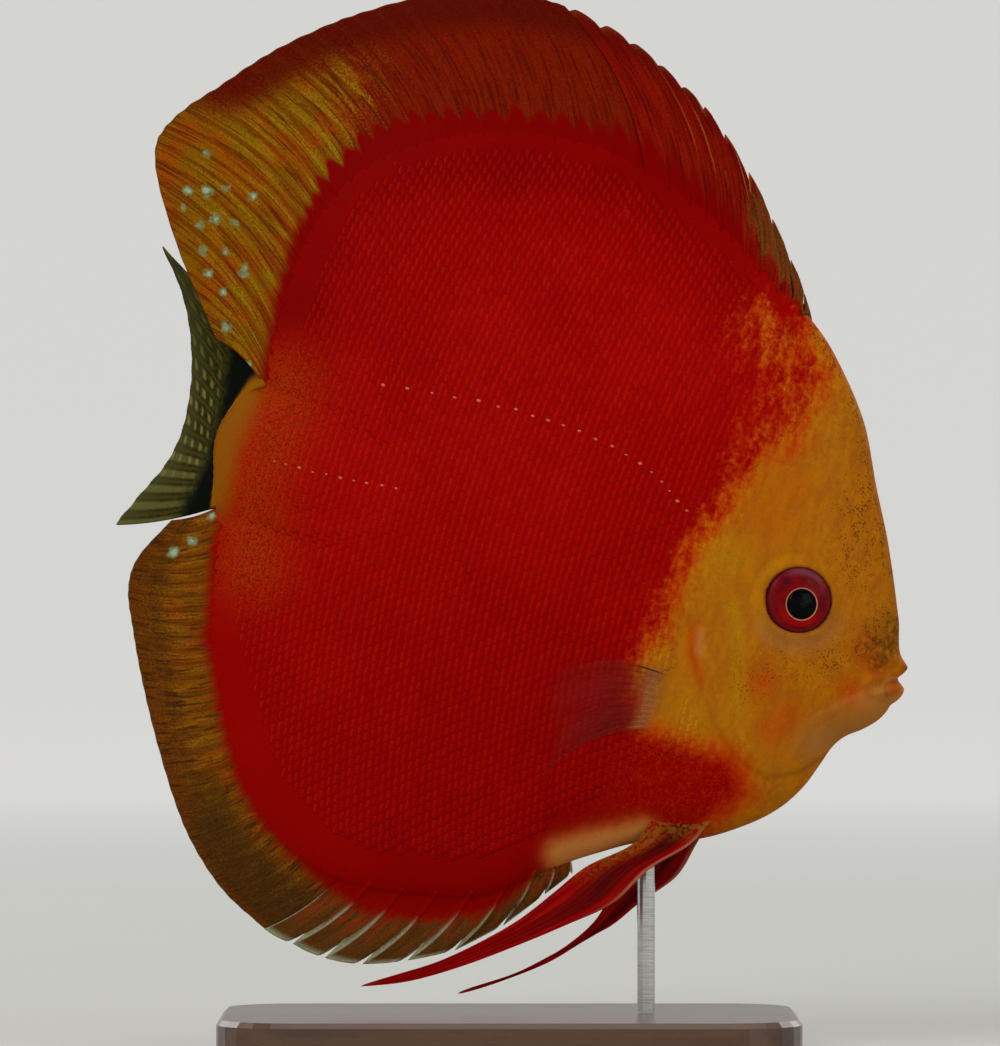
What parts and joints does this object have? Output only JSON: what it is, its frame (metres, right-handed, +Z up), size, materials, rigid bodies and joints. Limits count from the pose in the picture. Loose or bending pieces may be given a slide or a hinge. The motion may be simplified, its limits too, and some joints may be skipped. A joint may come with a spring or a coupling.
{
  "type": "discus fish",
  "caption": "Life-size still model of an adult red discus fish with pale-spotted fins, held by a rod on a plain flat base.",
  "frame": {"origin": "centre of the underside of the stand's base, which is also the bottom centre of the whole model's box", "axes": "+Z up, +X the way the fish faces, +Y towards the fish's left side"},
  "size_m": [0.1512, 0.07, 0.2023],
  "materials": {
    "head_skin": "ochre-orange skin with black pepper specks, moist sheen",
    "eye": "wine-red iris, black pupil, clear wet surface",
    "body_skin": "deep red, finely scaled, moist sheen",
    "stalk_skin": "ochre-orange, finely scaled",
    "median_fins": "thin rayed membrane, red-brown to ochre, translucent",
    "caudal_fin": "thin rayed membrane, dark olive with rows of pale dots",
    "pelvic_fins": "thin rayed membrane, red with a dark streak",
    "pectoral_fins": "clear pinkish membrane with fine rays",
    "stand_rod": "brushed",
    "stand_base": "dark stained, satin"
  },
  "bodies": {
    "root": {"head": "head_skin", "gill_cover_right": "head_skin", "gill_cover_left": "head_skin", "eye_right": "eye", "eye_left": "eye", "torso": "body_skin", "tail_stalk": "stalk_skin", "fin_dorsal_spines": "median_fins", "fin_dorsal_rays": "median_fins", "fin_anal_spines": "median_fins", "fin_anal_rays": "median_fins", "fin_caudal": "caudal_fin", "fin_pelvic_right": "pelvic_fins", "fin_pelvic_left": "pelvic_fins", "fin_pectoral_right": "pectoral_fins", "fin_pectoral_left": "pectoral_fins", "stand_rod": "stand_rod", "stand_base": "stand_base"}
  },
  "joints": []
}
